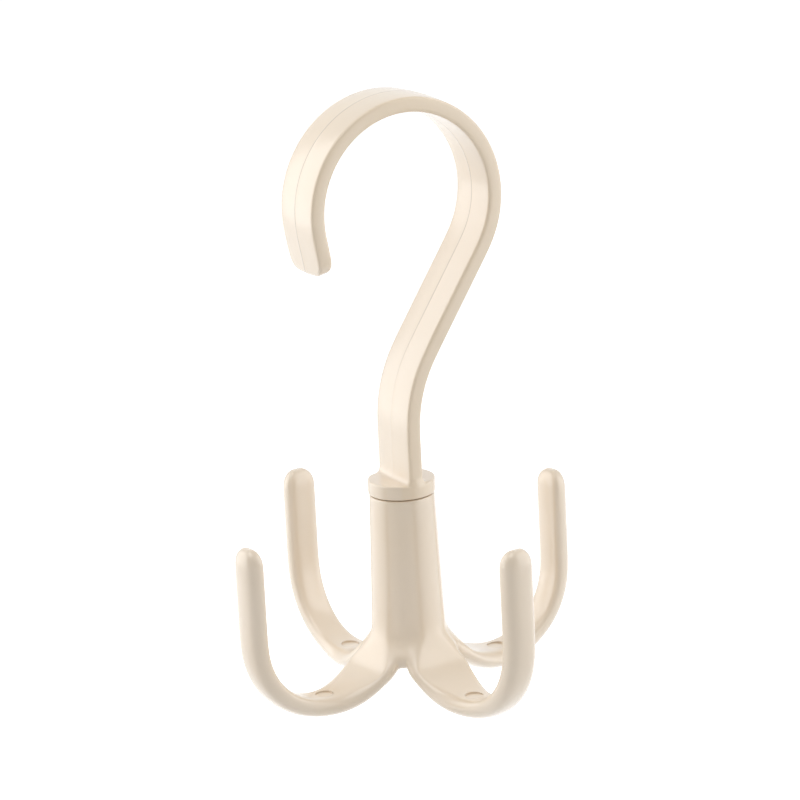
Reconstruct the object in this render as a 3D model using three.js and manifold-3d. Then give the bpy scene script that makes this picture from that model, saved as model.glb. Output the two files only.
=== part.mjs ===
// Rotating closet hook, in millimetres, +Z up.
// A question-mark hook hangs on a clothes rod. Its spigot turns in the hub of a
// base with four claws, held from below by a washer and a screw.
// The origin lies on the swivel axis, level with the inside top of the loop, where
// the rod carries the hook. The hook's band lies in the XZ plane, its width along Y,
// and its mouth opens towards -X.

import * as THREE from 'three';
import { mergeVertices } from 'three/addons/utils/BufferGeometryUtils.js';
import Module from 'manifold-3d';

// Hook band
const bandWidth = 19.3;
const bandThickness = 4.6;       // at the two narrow edges
const bandCrown = 0.4;           // how much each wide face rises to its middle
const bandCornerRadius = 0.95;
const loopRadius = 28.7;         // inside the loop
const loopOffset = 1.8;          // loop centre to swivel axis
const tipCurlAngle = 10.5;       // degrees that the loop runs on past level, at the tip
const tipLength = 12.1;          // straight end of the band
const tipCornerRadius = 4.8;     // corners of the end, seen on the wide face
const tipInnerRadius = 1.9;      // end rounding towards the rod
const tipOuterRadius = 0.9;
const leanAngle = 34;            // degrees from upright, where the band crosses to the axis
const bendRadius = 42;           // centreline of the bend back to upright
const shankLength = 16.4;        // upright band between that bend and the collar

// Collar and spigot, moulded with the hook
const collarDiameter = 20.8;
const collarThickness = 4.5;
const collarEdgeRadius = 0.5;
const footRise = 1.8;            // flare of the band where it grows out of the collar
const footSpread = 1.1;
const spigotDiameter = 12;
const spigotLength = 34;
const journalDiameter = 7;
const pilotDepth = 15;

// Hub and claws, one moulding
const hubTopDiameter = 20.2;
const hubDraftAngle = 1.8;       // degrees that the hub widens on each side
const hubEdgeRadius = 0.5;
const hubFootRadius = 3;         // rounding of the hub's lower rim, between the claws
const clawDrop = 36.1;           // hub top to the centre of each claw's bend
const hubFootDrop = 17.2;        // from there on to the hub's lower rim
const clawReach = 57.9;          // swivel axis to the middle of a finger
const clawWidth = 10.4;
const clawThickness = 6.1;
const clawCrest = 2.2;           // flat inner face to the widest line of the section
const rootBelly = 3.4;           // depth of the root's underside below its widest line
const fingerLength = 30.9;       // centre of the bend to the fingertip
const fingertipHeight = 4.6;     // height of its dome
const rootFaceSpan = 55;         // degrees of bend over which the hub's wall turns into a flat face
const rootFlareStart = 20;       // between these two the root narrows to the claw's width
const rootFlareEnd = 95;
const restTurn = 5.4;            // degrees that the claws stand turned from the band

// Hub inside
const boreGap = 0.3;             // running gap round the spigot and the journal
const partingGap = 0.35;         // collar to hub
const seatGap = 0.3;             // end gap at the web, the washer and the screw head
const webThickness = 3;
const socketDiameter = 14;

// Washer and screw
const washerDiameter = 12.4;
const washerThickness = 1.2;
const screwDiameter = 3.6;
const screwLength = 14;          // under the head
const screwPointLength = 2;
const screwHeadDiameter = 7.6;
const screwHeadHeight = 2.6;
const screwHeadEdge = 0.9;       // upright rim of the head

// Moulding marks in the claws' saddles
const markDiameter = 5.6;
const markDepth = 0.25;

// Overrun of every cut past the face that it opens
const overrun = 1;

// Counts
const clawCount = 4;
const roundSteps = 56;
const cornerSteps = 3;
const loopSteps = 34;
const bendSteps = 9;
const tipSteps = 5;
const clawSides = 20;
const clawBendSteps = 20;
const domeSteps = 5;

// Section exponents of the claws: 2 is round, higher is squarer
const innerPowerShare = 4.2;
const outerPowerShare = 2.2;
const hubPowerShare = 2;

// Steps of the foot's flare, as shares of its rise
const footRiseShares = [0, 0.3, 0.6, 0.85, 1];

// The domed side of the screw head, as shares of its radius and of the dome's height
const headDomeShares = [[0.55, 0.12], [0.85, 0.5]];

const radians = THREE.MathUtils.degToRad;
const wasm = await Module();
wasm.setup();

// Heights that follow from the sizes above, from the rod seat down
const loopCentre = new THREE.Vector2(loopOffset, -loopRadius);
const bandRadius = loopRadius + bandThickness / 2;
const leanStart = new THREE.Vector2(
  loopCentre.x + bandRadius * Math.cos(radians(leanAngle)),
  loopCentre.y - bandRadius * Math.sin(radians(leanAngle)),
);
const bendEndX = bendRadius * (1 - Math.cos(radians(leanAngle)));
const leanLength = (leanStart.x - bendEndX) / Math.sin(radians(leanAngle));
const bendCentreZ = leanStart.y - leanLength * Math.cos(radians(leanAngle))
  - bendRadius * Math.sin(radians(leanAngle));
const collarTop = bendCentreZ - shankLength;
const collarBottom = collarTop - collarThickness;
const hubTop = collarBottom - partingGap;
const shoulder = collarBottom - spigotLength;
const webTop = shoulder - seatGap;
const webBottom = webTop - webThickness;
const journalEnd = webBottom - seatGap;
const washerTop = journalEnd - seatGap;
const washerBottom = washerTop - washerThickness;
const headTop = washerBottom - seatGap;
const clawCentreZ = hubTop - clawDrop;
const hubFoot = clawCentreZ - hubFootDrop;

// The hub's radius at a height
function hubRadius(z) {
  return hubTopDiameter / 2 + (hubTop - z) * Math.tan(radians(hubDraftAngle));
}

// The claw bend: its inner face leaves the hub upright and comes up as the finger
const clawRootRadius = hubRadius(clawCentreZ);
const bendInnerRadius = (clawReach - clawThickness / 2 - clawRootRadius) / 2;
const clawBendRadius = bendInnerRadius + clawThickness / 2;
const clawCentreR = clawReach - clawBendRadius;

// Solid and geometry helpers

function toSolid(geometry) {
  const bare = geometry.clone();
  bare.deleteAttribute('normal');
  bare.deleteAttribute('uv');
  const merged = mergeVertices(bare);
  return new wasm.Manifold(new wasm.Mesh({
    numProp: 3,
    vertProperties: new Float32Array(merged.attributes.position.array),
    triVerts: new Uint32Array(merged.index.array),
  }));
}

function toGeometry(solid) {
  const mesh = solid.getMesh();
  const geometry = new THREE.BufferGeometry();
  geometry.setAttribute('position', new THREE.BufferAttribute(mesh.vertProperties, 3));
  geometry.setIndex(new THREE.BufferAttribute(mesh.triVerts, 1));
  geometry.computeVertexNormals();
  return geometry;
}

// A closed skin over rings of points, which run the same way round, with a fan at
// each end. Seen against the direction of travel, a ring runs counterclockwise.
function loft(rings) {
  const sides = rings[0].length;
  const points = rings.flat();
  const faces = [];
  rings.slice(1).forEach((ring, k) => {
    for (let i = 0; i < sides; i += 1) {
      const j = (i + 1) % sides;
      const [a, b, c, d] = [k * sides + i, k * sides + j, (k + 1) * sides + j, (k + 1) * sides + i];
      faces.push(a, b, c, a, c, d);
    }
  });
  [rings[0], rings[rings.length - 1]].forEach((ring, end) => {
    const middle = ring.reduce((sum, p) => sum.add(p), new THREE.Vector3()).divideScalar(sides);
    const hub = points.push(middle) - 1;
    const start = end ? (rings.length - 1) * sides : 0;
    for (let i = 0; i < sides; i += 1) {
      const pair = [start + i, start + ((i + 1) % sides)];
      faces.push(hub, ...(end ? pair : pair.reverse()));
    }
  });
  const geometry = new THREE.BufferGeometry().setFromPoints(points);
  geometry.setIndex(faces);
  return geometry;
}

// A solid of revolution about Z from [radius, z] points that run upwards
function turned(profile, steps = roundSteps) {
  const points = profile.map(([r, z]) => new THREE.Vector2(r, z));
  const geometry = new THREE.LatheGeometry(points, steps);
  geometry.rotateX(Math.PI / 2);
  return toSolid(geometry);
}

function cylinder(diameter, low, high) {
  const r = diameter / 2;
  return turned([[0, low], [r, low], [r, high], [0, high]]);
}

// Points of an arc about (r, z), between two angles in degrees
function arc(r, z, radius, from, to, steps = cornerSteps) {
  return Array.from({ length: steps + 1 }, (_, i) => {
    const a = radians(from + (to - from) * i / steps);
    return [r + radius * Math.cos(a), z + radius * Math.sin(a)];
  });
}

// How far a rounded end has drawn in, at a distance back from it
function drawIn(radius, back) {
  return back < radius ? radius - Math.sqrt(radius ** 2 - (radius - back) ** 2) : 0;
}

// Hook

// Places along the band's centreline, from the tip over the loop down to the collar.
// outward is the direction, in degrees, that the band's outer face looks in.
function bandPlaces() {
  const places = [];
  const tipOutward = 180 + tipCurlAngle;
  const tipTurn = radians(tipOutward);
  const straightStart = new THREE.Vector2(
    loopCentre.x + bandRadius * Math.cos(tipTurn),
    loopCentre.y + bandRadius * Math.sin(tipTurn),
  );
  const along = new THREE.Vector2(-Math.sin(tipTurn), Math.cos(tipTurn));
  for (let i = 0; i <= tipSteps; i += 1) {
    const back = tipCornerRadius * (1 - Math.cos((Math.PI / 2) * i / tipSteps));
    const at = straightStart.clone().addScaledVector(along, tipLength - back);
    places.push({ x: at.x, z: at.y, outward: tipOutward, back });
  }
  arc(loopCentre.x, loopCentre.y, bandRadius, tipOutward, -leanAngle, loopSteps)
    .forEach(([x, z], i) => {
      const outward = tipOutward + (-leanAngle - tipOutward) * i / loopSteps;
      places.push({ x, z, outward, back: tipLength });
    });
  arc(bendRadius, bendCentreZ, bendRadius, 180 - leanAngle, 180, bendSteps)
    .forEach(([x, z], i) => {
      places.push({ x, z, outward: leanAngle * (i / bendSteps - 1), back: tipLength });
    });
  places.push({ x: 0, z: collarTop - collarThickness / 2, outward: 0, back: tipLength });
  return places;
}

// The band's section at one place: [outward, across] points of a flat hexagon with
// round corners, drawn in at the end of the tip
function bandSection(back) {
  const half = bandWidth / 2 - drawIn(tipCornerRadius, back);
  const outer = bandThickness / 2 - drawIn(tipOuterRadius, back);
  const inner = bandThickness / 2 - drawIn(tipInnerRadius, back);
  const radius = Math.min(bandCornerRadius, outer, inner);
  const quarter = (thick, side, from) => arc(
    side * (thick - radius), 0, radius, from, from + 90,
  );
  const shift = (points, sign) => points.map(([u, y]) => [u, y + sign * (half - radius)]);
  return [
    [outer + bandCrown, 0],
    ...shift(quarter(outer, 1, 0), 1),
    ...shift(quarter(inner, -1, 90), 1),
    [-inner - bandCrown, 0],
    ...shift(quarter(inner, -1, 180), -1),
    ...shift(quarter(outer, 1, 270), -1),
  ];
}

function bandSolid() {
  const rings = bandPlaces().map(({ x, z, outward, back }) => {
    const a = radians(outward);
    return bandSection(back).map(([u, y]) => new THREE.Vector3(
      x + u * Math.cos(a), y, z + u * Math.sin(a),
    ));
  });
  return toSolid(loft(rings.reverse()));
}

// The flare at the band's foot, drawn out to just inside the collar's rim
function footSolid() {
  const edge = collarDiameter / 2 - collarEdgeRadius;
  const rings = footRiseShares.map((riseShare) => {
    const spread = footSpread * (1 - Math.sqrt(1 - (1 - riseShare) ** 2));
    return bandSection(tipLength).map(([u, y]) => {
      const out = new THREE.Vector2(u + Math.sign(u) * spread, y + Math.sign(y) * spread);
      out.clampLength(0, edge);
      return new THREE.Vector3(out.x, out.y, collarTop + footRise * riseShare);
    });
  });
  const sunk = rings[0].map((p) => new THREE.Vector3(p.x, p.y, collarTop - collarThickness / 2));
  return toSolid(loft([sunk, ...rings]));
}

function collarSolid() {
  const r = collarDiameter / 2;
  return turned([
    [0, collarBottom],
    ...arc(r - collarEdgeRadius, collarBottom + collarEdgeRadius, collarEdgeRadius, -90, 0),
    ...arc(r - collarEdgeRadius, collarTop - collarEdgeRadius, collarEdgeRadius, 0, 90),
    [0, collarTop],
  ]);
}

function upperHook() {
  const spigot = cylinder(spigotDiameter, shoulder, collarBottom + collarThickness / 2);
  const journal = cylinder(journalDiameter, journalEnd, shoulder + webThickness);
  const pilot = cylinder(
    screwDiameter + 2 * boreGap, journalEnd - overrun, journalEnd + pilotDepth,
  );
  return bandSolid().add(footSolid()).add(collarSolid()).add(spigot).add(journal).subtract(pilot);
}

// Claw base

// One claw's section, as [inward, across] points about the bend's centreline, where
// inward looks to the centre of the bend. At a turn of 0 it is the hub's own circle.
// It grows flat inside and round outside, and then narrows to the claw's width.
function clawSection(turn, size = 1) {
  const faceShare = THREE.MathUtils.smoothstep(turn, 0, rootFaceSpan);
  const flareShare = THREE.MathUtils.smoothstep(turn, rootFlareStart, rootFlareEnd);
  const mix = (hub, claw, share = faceShare) => hub + (claw - hub) * share;
  const toAxis = clawBendRadius - clawCentreR;
  const middle = mix(toAxis, clawThickness / 2 - clawCrest);
  const crest = clawThickness / 2 - middle;
  const belly = mix(rootBelly, clawThickness - clawCrest);
  const half = mix(clawRootRadius, clawWidth / 2, flareShare);
  const innerPower = mix(hubPowerShare, innerPowerShare, flareShare);
  const outerPower = mix(hubPowerShare, outerPowerShare, flareShare);
  return Array.from({ length: clawSides }, (_, i) => {
    const a = 2 * Math.PI * (i + 0.5) / clawSides;
    const [c, s] = [Math.cos(a), Math.sin(a)];
    const power = 2 / (s > 0 ? innerPower : outerPower);
    const inward = middle + (s > 0 ? crest : belly) * Math.sign(s) * Math.abs(s) ** power;
    const across = half * Math.sign(c) * Math.abs(c) ** power;
    return [inward * size, across * size];
  });
}

// One claw along +X, from inside the hub round the bend to the fingertip
function clawSolid() {
  const rings = [];
  const ring = (r, z, turn, size = 1) => {
    const a = radians(turn);
    rings.push(clawSection(turn, size).map(([inward, across]) => new THREE.Vector3(
      r + inward * Math.cos(a), across, z + inward * Math.sin(a),
    )));
  };
  for (let i = 0; i <= clawBendSteps; i += 1) {
    const turn = 180 * i / clawBendSteps;
    const a = radians(180 + turn);
    ring(clawCentreR + clawBendRadius * Math.cos(a), clawCentreZ + clawBendRadius * Math.sin(a),
      turn);
  }
  for (let i = 0; i < domeSteps; i += 1) {
    const a = (Math.PI / 2) * i / domeSteps;
    const z = clawCentreZ + fingerLength - fingertipHeight * (1 - Math.sin(a));
    ring(clawReach, z, 180, Math.cos(a));
  }
  return toSolid(loft(rings));
}

function hubSolid() {
  const foot = hubRadius(hubFoot) - hubFootRadius;
  const rim = hubTopDiameter / 2 - hubEdgeRadius;
  return turned([
    [0, hubFoot],
    ...arc(foot, hubFoot + hubFootRadius, hubFootRadius, -90, 0),
    ...arc(rim, hubTop - hubEdgeRadius, hubEdgeRadius, 0, 90),
    [0, hubTop],
  ]);
}

function clawBase() {
  const saddleZ = clawCentreZ - bendInnerRadius;
  const mark = cylinder(markDiameter, saddleZ - markDepth, saddleZ + clawThickness)
    .translate([clawCentreR, 0, 0]);
  const claw = clawSolid().subtract(mark);
  let solid = hubSolid();
  for (let i = 0; i < clawCount; i += 1) {
    solid = solid.add(claw.rotate([0, 0, 360 * i / clawCount]));
  }
  const bore = cylinder(spigotDiameter + 2 * boreGap, webTop, hubTop + overrun);
  const hole = cylinder(journalDiameter + 2 * boreGap, webBottom - overrun, webTop + overrun);
  const socket = cylinder(socketDiameter, hubFoot - overrun, webBottom);
  return solid.subtract(bore).subtract(hole).subtract(socket).rotate([0, 0, restTurn]);
}

// Washer and screw

function retainingWasher() {
  return cylinder(washerDiameter, washerBottom, washerTop)
    .subtract(cylinder(screwDiameter + 2 * boreGap, washerBottom - overrun, washerTop + overrun));
}

function pivotScrew() {
  const [head, shank] = [screwHeadDiameter / 2, screwDiameter / 2];
  const headFoot = headTop - screwHeadHeight;
  const domeHeight = screwHeadHeight - screwHeadEdge;
  const tip = headTop + screwLength;
  return turned([
    [0, headFoot],
    ...headDomeShares.map(([out, up]) => [head * out, headFoot + domeHeight * up]),
    [head, headFoot + domeHeight],
    [head, headTop],
    [shank, headTop],
    [shank, tip - screwPointLength],
    [0, tip],
  ]);
}

// Assembly

function piece(name, solid, color, roughness, metalness) {
  const material = new THREE.MeshStandardMaterial({ color, roughness, metalness });
  const mesh = new THREE.Mesh(toGeometry(solid), material);
  mesh.name = name;
  return mesh;
}

const creamPlastic = ['#f2e6d6', 0.32, 0];
const platedSteel = ['#c9c9c6', 0.3, 1];

const hook = new THREE.Group();
hook.add(
  piece('upper_hook', upperHook(), ...creamPlastic),
  piece('claw_base', clawBase(), ...creamPlastic),
  piece('retaining_washer', retainingWasher(), ...platedSteel),
  piece('pivot_screw', pivotScrew(), ...platedSteel),
);

export default hook;
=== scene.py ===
"""Rotating closet hook: the fine surfaces of a question-mark hook over a base with four claws.

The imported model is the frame. The hook and the base are subdivision cages that are
extruded and spun in edit mode, the washer and the screw are turned, and each piece
rides on the body that carries it. The origin lies on the swivel axis where the rod
carries the hook, Z is up, and the hook's band lies in the XZ plane, its mouth to -X.
"""

import math

import bmesh
import bpy
from mathutils import Matrix, Vector


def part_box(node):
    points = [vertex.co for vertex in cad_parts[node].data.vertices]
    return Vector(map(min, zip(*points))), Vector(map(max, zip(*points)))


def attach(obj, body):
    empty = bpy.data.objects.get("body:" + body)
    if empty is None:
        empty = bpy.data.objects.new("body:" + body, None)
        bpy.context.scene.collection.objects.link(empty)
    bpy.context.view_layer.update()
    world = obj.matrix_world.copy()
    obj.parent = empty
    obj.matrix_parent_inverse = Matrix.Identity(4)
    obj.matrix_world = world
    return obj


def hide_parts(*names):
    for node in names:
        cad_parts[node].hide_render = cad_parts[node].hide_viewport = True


bl_info = {
    "name": "Rotating Closet Hook",
    "version": (1, 0, 0),
    "blender": (4, 5, 0),
    "location": "View3D > Sidebar > Closet Hook",
    "description": "Builds the surfaces of a four-claw rotating hook round its frame",
    "category": "Object",
}

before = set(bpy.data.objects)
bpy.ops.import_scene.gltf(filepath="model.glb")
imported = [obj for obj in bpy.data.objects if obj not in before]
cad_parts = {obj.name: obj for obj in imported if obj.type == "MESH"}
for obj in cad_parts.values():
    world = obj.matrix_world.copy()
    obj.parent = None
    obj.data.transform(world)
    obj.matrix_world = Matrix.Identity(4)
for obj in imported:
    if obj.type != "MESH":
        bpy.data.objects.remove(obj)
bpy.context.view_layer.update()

mm = 0.001
HOOK_LOW, HOOK_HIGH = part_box("upper_hook")
BASE_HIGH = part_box("claw_base")[1]
WASHER_LOW, WASHER_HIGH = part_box("retaining_washer")
SCREW_LOW, SCREW_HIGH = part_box("pivot_screw")
UP = Vector((0, 0, 1))
QUARTER = math.pi / 2


# Sizes and colours that a user would change


def length(description, millimetres):
    return bpy.props.FloatProperty(
        description=description, default=millimetres * mm, unit="LENGTH", precision=5
    )


def turn(description, degrees):
    angle = math.radians(degrees)
    return bpy.props.FloatProperty(description=description, default=angle, subtype="ANGLE")


def colour(description, default):
    return bpy.props.FloatVectorProperty(
        description=description, default=default, min=0, max=1, subtype="COLOR"
    )


class HookSizes(bpy.types.PropertyGroup):
    """Sizes of the question-mark hook and its spigot."""

    band_width: length("Across the flat band", 19.3)
    band_thickness: length("At its narrow edges", 4.6)
    band_crown: length("Rise of a wide face to its middle", 0.4)
    seam_height: length("Mould ridge along both wide faces", 0.1)
    seam_width: length("Width of that ridge", 0.5)
    loop_radius: length("Inside the loop", 28.7)
    loop_offset: length("Loop centre to swivel axis", 1.8)
    tip_curl: turn("How far the loop runs on past level", 10.5)
    tip_length: length("Straight end of the band", 12.1)
    lean: turn("From upright, towards the axis", 34)
    bend_radius: length("Bend back to upright", 42)
    shank_length: length("Upright band over the collar", 16.4)
    foot_rise: length("Height of the flare over the collar", 3.4)
    collar_thickness: length("Height of the collar", 4.5)
    collar_rim: length("Rounding of the collar's edges", 0.75)
    spigot_diameter: length("Pin that turns in the hub", 12)
    spigot_length: length("Collar to shoulder", 34)
    journal_diameter: length("Pin through the hub's web", 7)
    pilot_diameter: length("Hole for the screw", 4.2)
    pilot_depth: length("Depth of that hole", 15)


class BaseSizes(bpy.types.PropertyGroup):
    """Sizes of the hub and its claws."""

    parting_gap: length("Collar to hub", 0.35)
    hub_diameter: length("At the hub's top", 20.2)
    hub_draft: turn("Widening on each side", 1.8)
    hub_rim: length("Rounding of the hub's top edge", 0.75)
    claw_drop: length("Hub top to the bend's centre", 36.1)
    foot_drop: length("From there to the hub's foot", 17.2)
    foot_radius: length("Flat ring under the hub", 8.4)
    claw_reach: length("Axis to the middle of a finger", 57.9)
    claw_width: length("Across a claw", 10.4)
    claw_thickness: length("Inner face to outer", 6.1)
    claw_crest: length("Inner face to the widest line", 2.2)
    root_belly: length("Depth of the root below its widest line", 3.8)
    root_sag: length("How far the root's face lies outside a round bend", 1.6)
    face_span: turn("Bend over which the wall turns flat", 55)
    flare_start: turn("Where the root begins to narrow", 20)
    flare_end: turn("Where it has the claw's width", 122)
    crotch_reach: length("Axis to the crotch between two claws", 15.1)
    finger_length: length("Bend centre to fingertip", 30.9)
    rest_turn: turn("The claws against the band", 5.4)
    running_gap: length("Round the spigot", 0.3)
    web_thickness: length("Web in the hub", 3)
    socket_diameter: length("Recess for the screw", 14)
    mark_diameter: length("Round moulding mark in each saddle", 5.6)
    mark_depth: length("Depth of that mark", 0.25)


class FastenerSizes(bpy.types.PropertyGroup):
    """Sizes of the washer and the screw under the hub's web."""

    washer_bore: length("Hole through the washer", 4.2)
    washer_chamfer: length("Edges of the washer", 0.18)
    screw_diameter: length("Over its thread", 3.6)
    screw_point: length("Length of the screw's point", 2)
    head_height: length("Height of the screw's head", 2.6)
    head_edge: length("Upright rim of the head", 0.9)
    thread_pitch: length("From one turn to the next", 1.3)
    thread_depth: length("Thread over the core", 0.4)
    recess_length: length("Across the crossed recess", 4.2)
    recess_width: length("Width of each slot", 0.95)
    recess_depth: length("Depth of the crossed recess", 1.7)


class Finishes(bpy.types.PropertyGroup):
    """Colours of the plastic, the metal and the floor."""

    cream: colour("Colour of the mouldings", (0.88, 0.745, 0.585))
    # The deeper cream also paints shade on the band's narrow edges, besides thicker or rubbed
    # plastic
    cream_deep_and_shade: colour("The same where it is thicker or rubbed", (0.86, 0.7, 0.5))
    # This colour is painted shade, for the rings round the marks and the line along the seam
    dirt: colour("Dirt along the seam and round the marks", (0.5, 0.4, 0.3))
    steel: colour("Colour of the plating", (0.72, 0.72, 0.7))
    steel_dull: colour("The plating where it has dulled", (0.55, 0.55, 0.54))
    floor: colour("Colour of the floor", (0.82, 0.82, 0.82))


# Shader maths


class Wire:
    """A node's output that takes part in sums, differences and products."""

    def __init__(self, nodes, socket):
        self.nodes = nodes
        self.socket = socket

    def maths(self, operation, *values):
        return self.nodes.add("ShaderNodeMath", {"operation": operation}, dict(enumerate(values)))

    def __add__(self, other):
        return self.maths("ADD", self, other)

    def __radd__(self, other):
        return self.maths("ADD", other, self)

    def __sub__(self, other):
        return self.maths("SUBTRACT", self, other)

    def __rsub__(self, other):
        return self.maths("SUBTRACT", other, self)

    def __mul__(self, other):
        return self.maths("MULTIPLY", self, other)

    def __abs__(self):
        return self.maths("ABSOLUTE", self)

    def within(self, limit, soft):
        """1 where the value is well below the limit, 0 above it, with a soft edge."""
        span = {"From Min": limit - soft, "From Max": limit + soft, "To Min": 1, "To Max": 0}
        settings = {"interpolation_type": "SMOOTHSTEP"}
        return self.nodes.add("ShaderNodeMapRange", settings, {"Value": self, **span})


class Nodes:
    """Adds nodes to one material or world, and links them."""

    def __init__(self, owner):
        owner.use_nodes = True
        self.tree = owner.node_tree
        self.tree.nodes.clear()

    def add(self, kind, settings=None, inputs=None, output=0):
        """Adds a node, sets it, feeds its sockets and returns one of its outputs."""
        node = self.tree.nodes.new(kind)
        for name, value in (settings or {}).items():
            setattr(node, name, value)
        for name, value in (inputs or {}).items():
            if isinstance(value, Wire):
                self.tree.links.new(value.socket, node.inputs[name])
            else:
                node.inputs[name].default_value = value
        return Wire(self, node.outputs[output]) if node.outputs else None

    def place(self):
        """The place on the piece."""
        return self.add("ShaderNodeTexCoord", output="Object")

    def noise(self, where, scale, detail):
        """Smooth noise round a half, with so many blobs to the metre."""
        inputs = {"Vector": where, "Scale": scale, "Detail": detail}
        return self.add("ShaderNodeTexNoise", None, inputs)

    def lines(self, where, scales, detail):
        """Smooth noise with its own number of blobs to the metre along X, Y and Z."""
        stretched = self.add("ShaderNodeMapping", None, {"Vector": where, "Scale": scales})
        return self.noise(stretched, 1, detail)

    def mix_colour(self, factor, first, second):
        """Mixes two colours, each a wire or its red, green and blue."""
        ends = [end if isinstance(end, Wire) else (*end, 1) for end in (first, second)]
        inputs = {"Factor": factor, "A": ends[0], "B": ends[1]}
        return self.add("ShaderNodeMix", {"data_type": "RGBA"}, inputs, "Result")

    def vector_maths(self, operation, first, second):
        inputs = {0: first, 1: second}
        return self.add("ShaderNodeVectorMath", {"operation": operation}, inputs, "Value")

    def bump(self, height, strength, distance):
        inputs = {"Height": height, "Strength": strength, "Distance": distance}
        return self.add("ShaderNodeBump", None, inputs)


def shader(nodes, inputs):
    surface = nodes.add("ShaderNodeBsdfPrincipled", None, inputs)
    nodes.add("ShaderNodeOutputMaterial", None, {"Surface": surface})


# Blobs to the metre in clouds, ripple, grain and scratches, and the middle of all noise
CLOUD_SCALE = 32
RIPPLE_SCALE = 620
GRAIN_SCALE = 2600
SCRATCH_SCALES = (2600, 190, 260)
HALF = 0.5

# Rubbed places: the rod seat and its reach, a saddle's reach, and how softly each ends
ROD_SEAT = (Vector((0, 0, 0)), 16 * mm)
SADDLE_REACH = 9 * mm
WEAR_FADE = 0.45

# What deepens the tint: clouds over a level, ripple, wear, and painted shade on the band's narrow
# edges
CLOUD_LEVEL = 0.35
CLOUD_TINT = 0.9
RIPPLE_TINT = 0.16
WEAR_TINT = 0.08
EDGE_SHADE_TINT = 0.6
EDGE_SHADE_REACH = 0.7 * mm
EDGE_SHADE_SOFT = 0.5 * mm

# Painted shade: half the width of a dark ring round each mark, its soft border and strength,
# the same for a dark line along the seam in shares of its width, and how far down that line goes
RING_SHADE = 0.3 * mm
RING_SHADE_SOFT = 0.8 * RING_SHADE
RING_SHADE_TINT = 0.35
SEAM_SHADE = 1 / 3
SEAM_SHADE_SOFT = 1 / 7
SEAM_SHADE_TINT = 0.8
SEAM_SHADE_END = -78 * mm
SEAM_SHADE_FADE = 15 * mm

# Roughness, and how far clouds, grain, wear and scratches change it
ROUGHNESS = 0.34
CLOUD_ROUGH = 0.1
GRAIN_ROUGH = 0.04
WEAR_ROUGH = 0.03
SCRATCH_ROUGH = 0.08

# Relief: shares of ripple, grain and scratches, its strength and its height
RIPPLE_RELIEF = 0.7
GRAIN_RELIEF = 0.1
SCRATCH_RELIEF = 0.02
RELIEF_STRENGTH = 0.22
RELIEF_HEIGHT = 0.06 * mm
GLOSS = {"IOR": 1.55, "Coat Weight": 1, "Coat IOR": 1.6, "Coat Roughness": 0.2}

# Plating: the scales of its dull patches and turning lines, and what they change
DULL_SCALE = 240
LINE_SCALES = (500, 500, 9000)
DULL_LEVEL = 0.3
DULL_TINT = 1.4
STEEL_ROUGHNESS = 0.26
DULL_ROUGH = 0.3
LINE_ROUGH = 0.1
LINE_STRENGTH = 0.2
LINE_HEIGHT = 0.03 * mm


def cream_plastic(scene, name, rubbed, ring=0, seam=0, width=0):
    """Glossy cream plastic, a little cloudy, rubbed at the places where things hang.

    rubbed lists middles and reaches, and ring is the radius of a dark ring of painted shade round
    them. A band that is width wide has painted shade on its narrow edges, and a dark line of
    painted shade along its seam.
    """
    finishes = scene.finishes
    material = bpy.data.materials.new(name)
    nodes = Nodes(material)
    where = nodes.place()
    cloud = nodes.noise(where, CLOUD_SCALE, 3)
    ripple = nodes.noise(where, RIPPLE_SCALE, 1)
    grain = nodes.noise(where, GRAIN_SCALE, 2)
    scratch = nodes.lines(where, SCRATCH_SCALES, 2)
    wear = 0
    dirt = 0
    for middle, reach in rubbed:
        away = nodes.vector_maths("DISTANCE", where, middle)
        wear = away.within(reach, reach * WEAR_FADE) + wear
        if ring:
            # Painted shade: a dark ring round the rim of each mark
            dirt = abs(away - ring).within(RING_SHADE, RING_SHADE_SOFT) * RING_SHADE_TINT + dirt
    deep_and_shade = (cloud - CLOUD_LEVEL) * CLOUD_TINT + (ripple - HALF) * RIPPLE_TINT + wear * WEAR_TINT
    if width:
        y, z = (nodes.add("ShaderNodeSeparateXYZ", None, {"Vector": where}, axis) for axis in "YZ")
        # Painted shade: the band's narrow edges are deepened, as they get less light
        face = abs(y).within(width / 2 - EDGE_SHADE_REACH, EDGE_SHADE_SOFT)
        deep_and_shade = deep_and_shade + (1 - face) * EDGE_SHADE_TINT
        # Painted shade: a dark line along the seam, which ends below a height
        above = 1 - z.within(SEAM_SHADE_END, SEAM_SHADE_FADE)
        dirt = abs(y).within(seam * SEAM_SHADE, seam * SEAM_SHADE_SOFT) * above * SEAM_SHADE_TINT
    tint = nodes.mix_colour(deep_and_shade, finishes.cream, finishes.cream_deep_and_shade)
    # Mixes in the painted shade of the rings round the marks and of the seam
    tint = nodes.mix_colour(dirt, tint, finishes.dirt)
    rough = ROUGHNESS + (cloud - HALF) * CLOUD_ROUGH + (grain - HALF) * GRAIN_ROUGH
    rough = rough + wear * (WEAR_ROUGH + (scratch - HALF) * SCRATCH_ROUGH)
    relief = ripple * RIPPLE_RELIEF + grain * GRAIN_RELIEF + wear * scratch * SCRATCH_RELIEF
    bump = nodes.bump(relief, RELIEF_STRENGTH, RELIEF_HEIGHT)
    shader(nodes, {"Base Color": tint, "Roughness": rough, "Normal": bump, **GLOSS})
    return material


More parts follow.
